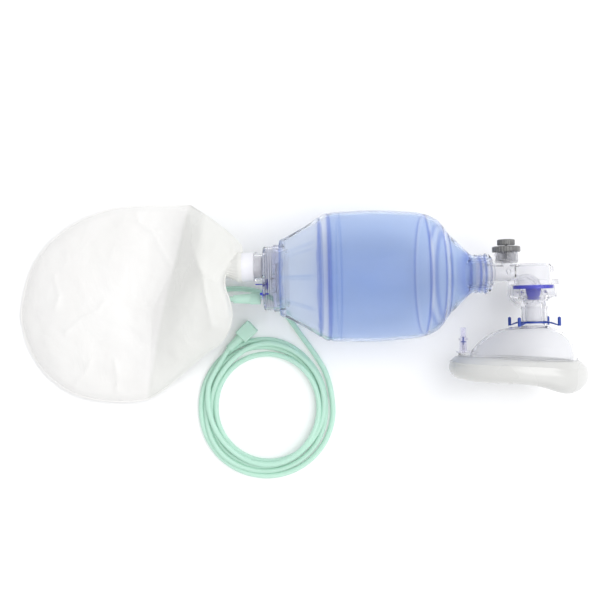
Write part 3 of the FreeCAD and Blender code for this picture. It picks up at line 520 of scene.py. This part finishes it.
# Sections across it: x, its two edges, the heights of both edges and of its middle, its thickness
FILM_STATIONS = [
    (-49.8, 40, 53.5, 65, 64, 66, 6), (-53.5, 32, 59.5, 65, 63, 67, 8), (-58, 18, 63.5, 63, 61, 69, 10),
    (-61, -14, 66.5, 59, 60, 71, 10), (-64, -27, 69, 54, 58, 71.5, 11),
    (-70, -37.5, 74.3, 45, 55, 71, 12.5), (-80, -47.5, 82, 35, 52, 69.5, 14),
    (-99, -60.5, 97.5, 26, 45, 66, 13.5), (-112, -71, 101.3, 19, 34, 54, 18),
    (-126, -83, 102.3, 13, 22, 33, 27), (-140, -94, 103.5, 9, 12, 19, 31),
    (-156, -103, 104, 7.2, 7.2, 14.4, 28.6), (-190, -105.7, 101.8, 7, 7, 14, 27.8),
    (-216, -102.5, 94.5, 6.7, 6.7, 13.4, 26.6), (-240, -95, 82.5, 6, 6, 12, 23.8),
    (-262, -79.5, 67, 4.7, 4.7, 9.4, 18.6), (-278, -60, 47, 3.3, 3.3, 6.6, 13),
    (-291.8, -24, -1, 2.2, 2.2, 3.4, 5),
]
# Foot of the slope up to the neck: y, x. The film is flat left of it.
SLOPE_FOOT = [(-110, -158), (-50, -152), (-4, -146), (36, -124), (70, -115), (104, -108)]
# The sections between these two places are the slope's, and are stretched to reach from the foot to its top
SLOPE_TOP_X, SLOPE_FOOT_X = -80.0, -140.0
# Waves of the film: height, length and seed
FILM_WAVES = [(2.0, 46, 3.1), (0.9, 19, 7.7), (0.35, 9, 1.3)]
# Folds in the film: points of each fold line (x, y), height and width
FILM_FOLDS = [
    ([(-107, 99), (-122, 36), (-145, -4), (-156, -98)], -1.2, 4.0),
    ([(-107, 97), (-101, 57), (-88, 25), (-82, -25)], 5.0, 7.0),
    ([(-165, 98), (-161, 84), (-150, 76), (-140, 74)], 1.9, 2.2),
    ([(-88, 25), (-76, 18), (-68, 20)], 1.6, 3.0),
    ([(-240, -30), (-222, -14), (-205, -8), (-196, 4)], 1.6, 2.2),
    ([(-252, 30), (-246, 8), (-250, -4)], 1.4, 2.2),
    ([(-190, -98), (-187, -78), (-189, -60)], 1.7, 2.2),
    ([(-236, -88), (-222, -72), (-214, -60)], 1.5, 2.2),
    ([(-150, 80), (-138, 56), (-128, 40)], 1.4, 2.5),
]
FILM_CENTRE = (-165.0, 0.0)
FILM_COLUMNS, FILM_ROWS = 260, 72
ROW_CROWDING = 1.6                          # rows lie closer towards the edge
CLOSING_START, WELD_START = 0.92, 0.985     # shares of the way from the centre to the edge
WELD_HALF_THICKNESS = 0.25
WAVES_FADE = 9                              # waves die out over a ninth of the way before the weld
UNDERSIDE_WAVES = 0.15
FILM_CLEARANCE, LEAST_GAP = 0.5, 0.3        # above the table, and between the two sheets
SLEEVE_Y, SLEEVE_Z = 33.0, 65.5
# Round throat that the sleeve keeps open in the film: radius, where it starts to narrow and how fast
THROAT_RADIUS, THROAT_START_X, THROAT_TAPER = 11.5, -62, 0.42
THROAT_END_X, THROAT_FADE = -100, 20        # where it ends, and over what length it fades out before that
# Gathered cuff: x and radius, then its grid, and the height, count and start of its pleats
CUFF = [(-49.9, 15.2), (-53.4, 15.2), (-62.4, 10.4), (-74, 8.0)]
CUFF_STEP, CUFF_COLUMNS = 1.0, 120
PLEAT_HEIGHT, PLEAT_COUNT = 0.35, 19
PLEAT_START_X, PLEAT_RUN = -52, 6


def distance_to_line(x, y, line):
    """Distance of points from a line through several corners."""
    nearest = np.full(x.shape, 1e9)
    for (ax, ay), (bx, by) in zip(line, line[1:]):
        t = np.clip(((x - ax) * (bx - ax) + (y - ay) * (by - ay)) / ((bx - ax) ** 2 + (by - ay) ** 2), 0, 1)
        nearest = np.minimum(nearest, np.hypot(x - ax - t * (bx - ax), y - ay - t * (by - ay)))
    return nearest


def waves(x, y, size, seed):
    """Smooth random waves about `size` millimetres long, from -1 to 1."""
    flat = [noise.noise(Vector((a / size, b / size, seed))) for a, b in zip(x.ravel(), y.ravel())]
    return np.array(flat).reshape(x.shape)


CURVE_STEP = 0.05       # share of the way between two given points


def closed_curve(points, count):
    """Evenly spaced points on a smooth closed curve through these."""
    ring = np.array(points + points[:3], float)
    fine = []
    for a, b, c, d in zip(ring, ring[1:], ring[2:], ring[3:]):
        for t in np.arange(0, 1, CURVE_STEP):
            fine.append(0.5 * (2 * b + (c - a) * t + (2 * a - 5 * b + 4 * c - d) * t ** 2
                               + (3 * b - a - 3 * c + d) * t ** 3))
    fine = np.array(fine + fine[:1])
    run = np.concatenate([[0], np.cumsum(np.hypot(*np.diff(fine, axis=0).T))])
    places = np.linspace(0, run[-1], count, endpoint=False)
    return np.stack([np.interp(places, run, fine[:, i]) for i in (0, 1)], axis=1)


def film_heights(x, y):
    """Height of the film's middle surface and half its thickness, in millimetres."""
    table = np.array(FILM_STATIONS)

    def along(column, at):
        return curve_through(-table[:, 0], table[:, column], np.clip(-at, -table[0, 0], -table[-1, 0]))

    foot = np.interp(y, *zip(*SLOPE_FOOT))
    far_end = table[-1, 0]
    on_slope = SLOPE_FOOT_X + (x - foot) * (SLOPE_TOP_X - SLOPE_FOOT_X) / (SLOPE_TOP_X - foot)
    on_flat = far_end + (x - far_end) * (SLOPE_FOOT_X - far_end) / (foot - far_end)
    look_up = np.where(x > SLOPE_TOP_X, x, np.where(x > foot, on_slope, on_flat))
    low_y, high_y = along(1, x), along(2, x)
    across = np.clip((2 * y - high_y - low_y) / (high_y - low_y), -1, 1)
    up = np.sqrt(1 - across ** 2)
    low_edge, high_edge, middle, thickness = [along(column, look_up) for column in (3, 4, 5, 6)]
    edges = (low_edge + high_edge) / 2
    centre = edges + (high_edge - low_edge) / 2 * across + (middle - edges) * up ** 2
    half = thickness / 2 * up
    return centre, half


def film_sheets(x, y, share):
    """Heights of the upper and the lower sheet, for points at this share of the way to the edge."""
    centre, half = film_heights(x, y)
    closing = np.sqrt(1 - np.clip((share - CLOSING_START) / (WELD_START - CLOSING_START), 0, 1) ** 2)
    half = np.maximum(half * closing, WELD_HALF_THICKNESS)
    throat = np.clip(THROAT_RADIUS - THROAT_TAPER * np.maximum(THROAT_START_X - x, 0), 0, THROAT_RADIUS)
    bulge = np.sqrt(np.maximum(throat ** 2 - (y - SLEEVE_Y) ** 2, 0))
    near = np.clip((x - THROAT_END_X) / THROAT_FADE, 0, 1) * (share < WELD_START)
    ripple = sum(height * waves(x, y, size, seed) for height, size, seed in FILM_WAVES)
    for line, height, width in FILM_FOLDS:
        ripple = ripple + height * np.exp(-distance_to_line(x, y, line) / width)
    ripple = ripple * np.clip((WELD_START - share) * WAVES_FADE, 0, 1)
    top = np.maximum(centre + half + ripple, (SLEEVE_Z + bulge) * near * (bulge > 0))
    bottom = np.maximum(centre - half + UNDERSIDE_WAVES * ripple, FILM_CLEARANCE)
    return np.maximum(top, bottom + LEAST_GAP), bottom


def welded_faces(sheet, rows, columns):
    """Faces of an upper sheet, of the same sheet below it, and of the weld that joins their last rows."""
    count = rows * columns
    last = count - columns
    faces = list(sheet) + [tuple(i + count for i in face[::-1]) for face in sheet]
    for j in range(columns):
        k = (j + 1) % columns
        faces.append((last + j, last + k, count + last + k, count + last + j))
    return faces


def cuff_tube(first):
    """Points and faces of the gathered cuff, numbered from `first`."""
    x = np.arange(CUFF[0][0], CUFF[-1][0], -CUFF_STEP)[:, None]
    radius = np.interp(-x, [-place for place, _ in CUFF], [r for _, r in CUFF])
    turn = np.linspace(0, 2 * math.pi, CUFF_COLUMNS, endpoint=False)[None]
    gathered = np.clip((PLEAT_START_X - x) / PLEAT_RUN, 0, 1)
    radius = radius + PLEAT_HEIGHT * gathered * np.sin(PLEAT_COUNT * turn + 2 * np.sin(3 * turn))
    y = SLEEVE_Y + radius * np.cos(turn)
    z = SLEEVE_Z + radius * np.sin(turn)
    rows = np.stack([x + 0 * turn, y, z], axis=-1)
    sheet = grid_faces(len(x), CUFF_COLUMNS, closed_columns=True)
    return rows.reshape(-1, 3), [tuple(first + i for i in face) for face in sheet]


def make_reservoir():
    """Film bag: two sheets welded round their edge, with the cuff that grips the white sleeve."""
    edge = closed_curve(FILM_EDGE, FILM_COLUMNS)[None]
    share = (1 - (1 - np.linspace(0, 1, FILM_ROWS)) ** ROW_CROWDING)[:, None]
    x = FILM_CENTRE[0] + share * (edge[..., 0] - FILM_CENTRE[0])
    y = FILM_CENTRE[1] + share * (edge[..., 1] - FILM_CENTRE[1])
    layers = [np.stack([x, y, z], axis=-1).reshape(-1, 3) for z in film_sheets(x, y, share)]
    points = np.concatenate(layers)
    sheet = grid_faces(FILM_ROWS, FILM_COLUMNS, closed_columns=True)
    faces = welded_faces(sheet, FILM_ROWS, FILM_COLUMNS)
    cuff_points, cuff_faces = cuff_tube(len(points))
    film = new_piece("reservoir_film", np.concatenate([points, cuff_points]) * MM, faces + cuff_faces)
    film.data.materials.append(film_material())
    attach(film, "reservoir")
    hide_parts("reservoir_bag", "reservoir_cuff")


# ---- Mask cushion ----
# Millimetres from the head's centre: left and right end, half width, and by how much the chin is wider
CUSHION_ENDS, CUSHION_HALF_WIDTH, CUSHION_TAPER = (-85.6, 51.1), 49.2, 0.13
CUSHION_TUBE = 11.8
CUSHION_SPREAD = 1.2            # turns the tube's outward direction sideways, to suit the ring's long shape
CUSHION_TOP = 85.2
# How deep the cushion reaches below the head, from nose to chin, and over what length each step is smoothed
CUSHION_DEPTHS = [(-80, 103), (-64, 106), (-24, 107.5), (-5, 110.3), (26, 119.3), (45, 113)]
CUSHION_SMOOTHING = np.linspace(-9, 9, 13)
# Raised seam round its outside: height, its place round the tube and its half width, as angles
CUSHION_SEAM, SEAM_PLACE, SEAM_WIDTH = 0.8, 2 * math.pi - 0.5, 0.06
CUSHION_ROWS, CUSHION_COLUMNS = 144, 96


def cushion_vinyl():
    """Milky soft vinyl, a little cloudy."""
    vinyl = new_material("cushion_vinyl", Coat_Weight=0.3, Coat_Roughness=0.2)
    cloud = texture(vinyl, "ShaderNodeTexNoise", scale=22, Detail=2.0)
    tint(vinyl, cloud, (0.575, 0.575, 0.56), (0.63, 0.63, 0.615))
    vary(vinyl, cloud, "Roughness", 0.22, 0.34)
    roughen(vinyl, cloud, depth=0.8 * MM, strength=0.2)
    return vinyl


def make_cushion():
    """Air-filled ring under the dome, deeper at the chin than at the nose."""
    around = np.linspace(0, 2 * math.pi, CUSHION_ROWS, endpoint=False)[:, None]
    across = np.linspace(0, 2 * math.pi, CUSHION_COLUMNS, endpoint=False)[None]
    left, right = CUSHION_ENDS
    middle_x = (left + right) / 2 + ((right - left) / 2 - CUSHION_TUBE) * np.cos(around)
    width = 1 + CUSHION_TAPER * np.cos(around)
    middle_z = (CUSHION_HALF_WIDTH - CUSHION_TUBE) * np.sin(around) * width
    top = CUSHION_TOP + middle_x * math.tan(MASK_TILT)
    depths = [curve_through(*zip(*CUSHION_DEPTHS), middle_x + step) for step in CUSHION_SMOOTHING]
    bottom = np.mean(depths, axis=0)
    centre_d, half_d = (top + bottom) / 2, (bottom - top) / 2
    out_x, out_z = np.cos(around), np.sin(around) * CUSHION_SPREAD
    length = np.hypot(out_x, out_z)
    reach = CUSHION_TUBE * np.cos(across) + CUSHION_SEAM * bump_shape(across, SEAM_PLACE, SEAM_WIDTH)
    x = middle_x + reach * out_x / length
    z = middle_z + reach * out_z / length
    d = centre_d + half_d * np.sin(across)
    points = np.stack([HEAD.x + x * MM, HEAD.y - d * MM, HEAD.z + z * MM], axis=-1).reshape(-1, 3)
    faces = grid_faces(CUSHION_ROWS, CUSHION_COLUMNS, closed_rows=True, closed_columns=True)
    cushion = new_piece("air_cushion", points, faces)
    cushion.data.materials.append(cushion_vinyl())
    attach(cushion, "mask")
    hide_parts("mask_cushion")


# ---- Materials of the CAD pieces ----
CAP_FACE_X = BAG_REAR_X - 16.3 * MM
RIB, GROOVE_PAINTED_SHADE = (1.0, 1.0, 1.0), (0.60, 0.61, 0.70)
CAP_EDGE, RIB_SPACING, RIB_STOPS = 0.3, 1.1, 10
# The cap's ribs, and painted shade in the grooves between them, from its face forwards
CAP_RIB_PAINTED_SHADE = [(0, RIB)]
CAP_RIB_PAINTED_SHADE += [(CAP_EDGE + RIB_SPACING * i, RIB if i % 2 else GROOVE_PAINTED_SHADE) for i in range(RIB_STOPS)]
# See-through plastics: pale and deep colour, colour of the gloss, least and most roughness, clearness
PLASTICS = {
    "clear_plastic": ((0.94, 0.94, 0.952), (0.90, 0.90, 0.917), (0.60, 0.60, 0.64), 0.03, 0.08, 0.97),
    "mask_clear": ((0.945, 0.945, 0.957), (0.92, 0.923, 0.938), (0.72, 0.73, 0.77), 0.05, 0.12, 0.9),
    "cap_smoke": ((0.995, 0.995, 1.0), (0.97, 0.97, 0.98), (0.60, 0.60, 0.66), 0.04, 0.1, 0.97),
    "ring_smoke": ((0.86, 0.87, 0.95), (0.78, 0.80, 0.91), (0.42, 0.43, 0.55), 0.04, 0.1, 0.95),
    "valve_smoke": ((0.72, 0.72, 0.74), (0.60, 0.60, 0.62), (0.45, 0.45, 0.48), 0.05, 0.12, 0.92),
    "valve_lilac": ((0.93, 0.92, 0.98), (0.88, 0.87, 0.96), (0.62, 0.60, 0.80), 0.05, 0.12, 0.95),
}
# Solid plastics, rubbers and metal: pale and deep colour, least and most roughness, other shader sockets
SOLIDS = {
    "smoke_knob": ((0.17, 0.17, 0.165), (0.09, 0.09, 0.09), 0.2, 0.35, {"Coat_Weight": 0.5}),
    "blue_silicone": ((0.035, 0.04, 0.72), (0.02, 0.025, 0.60), 0.3, 0.5, {}),
    "pale_silicone": ((0.82, 0.82, 0.84), (0.74, 0.74, 0.77), 0.3, 0.5, {}),
    "blue_plastic": ((0.010, 0.050, 0.33), (0.006, 0.035, 0.26), 0.3, 0.45, {}),
    "white_plastic": ((0.80, 0.80, 0.84), (0.76, 0.76, 0.80), 0.3, 0.45, {}),
    "spring_steel": ((0.62, 0.62, 0.63), (0.5, 0.5, 0.52), 0.2, 0.35, {"Metallic": 1.0}),
}
# The CAD pieces that each material dresses
DRESSED = {
    "clear_plastic": ("valve_housing", "valve_base", "exhalation_port", "patient_connector", "relief_cover",
                      "manometer_cap", "neck_insert", "intake_seat"),
    "valve_smoke": ("relief_body",),
    "mask_clear": ("mask_shell",),
    "cap_smoke": ("rear_cap",),
    "ring_smoke": ("rear_retaining_ring",),
    "valve_lilac": ("cushion_valve_body",),
    "smoke_knob": ("relief_ring", "relief_knob"),
    "blue_silicone": ("duckbill_valve", "air_inlet_valve", "overflow_valve"),
    "pale_silicone": ("intake_disc", "relief_disc"),
    "blue_plastic": ("hook_ring", "cushion_valve_plunger"),
    "white_plastic": ("reservoir_connector",),
    "spring_steel": ("relief_spring", "cushion_valve_spring"),
    "green_vinyl": ("oxygen_connector", "supply_connector"),
}


def make_plastics():
    """Every material of the CAD pieces, by name."""
    materials = {name: see_through(name, *look) for name, look in PLASTICS.items()}
    # Painted shade in the grooves between the cap's ribs
    shade_along_x(materials["cap_smoke"], CAP_FACE_X, CAP_RIB_PAINTED_SHADE)
    for name, (pale, deep, rough_low, rough_high, sockets) in SOLIDS.items():
        materials[name] = moulded(name, pale, deep, rough_low, rough_high, **sockets)
    materials["green_vinyl"] = green_vinyl()
    return materials


def dress_cad_nodes():
    """Gives each carried-over CAD piece its material."""
    materials = make_plastics()
    for material, nodes in DRESSED.items():
        for name in nodes:
            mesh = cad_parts[name].data
            mesh.materials.clear()
            mesh.materials.append(materials[material])


# Spring, the joint that presses it, and which corner of its box lies at its fixed end
SPRINGS = [("relief_spring", "relief_lift", 1), ("cushion_valve_spring", "cushion_pin_press", 0)]


def soften_springs():
    """Gives each spring a mesh of its own."""
    for node, joint, fixed_end in SPRINGS:
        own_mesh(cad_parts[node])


# ---- Studio ----
FLOOR_HALF = 3.0
# Soft lights: place, size and watts
LIGHTS = {"overhead": ((0.85, 0.35, 1.9), 1.8, 25), "fill": ((0.6, -1.4, 1.3), 1.4, 3)}
LIGHT_AIM = Vector((0, 0, 0.05))
SKY_COLOUR, SKY_STRENGTH = (0.98, 0.985, 1.0), 0.84
# Enough for light to pass every wall of the bag and of the valve head, and what they hold
WALL_BOUNCES, SEE_THROUGH_BOUNCES = 24, 32


def make_floor():
    """Plain pale paper under everything."""
    corners = [(-1, -1), (1, -1), (1, 1), (-1, 1)]
    floor = new_piece("floor", [(x * FLOOR_HALF, y * FLOOR_HALF, 0) for x, y in corners], [(0, 1, 2, 3)])
    paper = new_material("paper")
    fibre = texture(paper, "ShaderNodeTexNoise", scale=9, Detail=3.0)
    tint(paper, fibre, (0.93, 0.93, 0.93), (0.95, 0.95, 0.95))
    vary(paper, fibre, "Roughness", 0.7, 0.8)
    floor.data.materials.append(paper)


def make_lights():
    """Two soft lights aimed at the object, in a bright room."""
    for name, (place, size, watts) in LIGHTS.items():
        data = bpy.data.lights.new(name, "AREA")
        data.size = size
        data.energy = watts
        light = bpy.data.objects.new(name, data)
        light.location = place
        aim = LIGHT_AIM - light.location
        light.rotation_euler = aim.to_track_quat("-Z", "Y").to_euler()
        bpy.context.collection.objects.link(light)
    world = bpy.data.worlds.new("studio")
    world.use_nodes = True
    background = world.node_tree.nodes["Background"]
    background.inputs["Color"].default_value = (*SKY_COLOUR, 1)
    background.inputs["Strength"].default_value = SKY_STRENGTH
    bpy.context.scene.world = world


def set_view():
    """Plain colours, and enough bounces to see through every wall."""
    scene = bpy.context.scene
    scene.view_settings.view_transform = "Standard"
    scene.cycles.max_bounces = WALL_BOUNCES
    scene.cycles.transmission_bounces = WALL_BOUNCES
    scene.cycles.transparent_max_bounces = SEE_THROUGH_BOUNCES


make_camera()
make_tube()
make_bag()
make_reservoir()
make_cushion()
dress_cad_nodes()
soften_springs()
make_floor()
make_lights()
set_view()
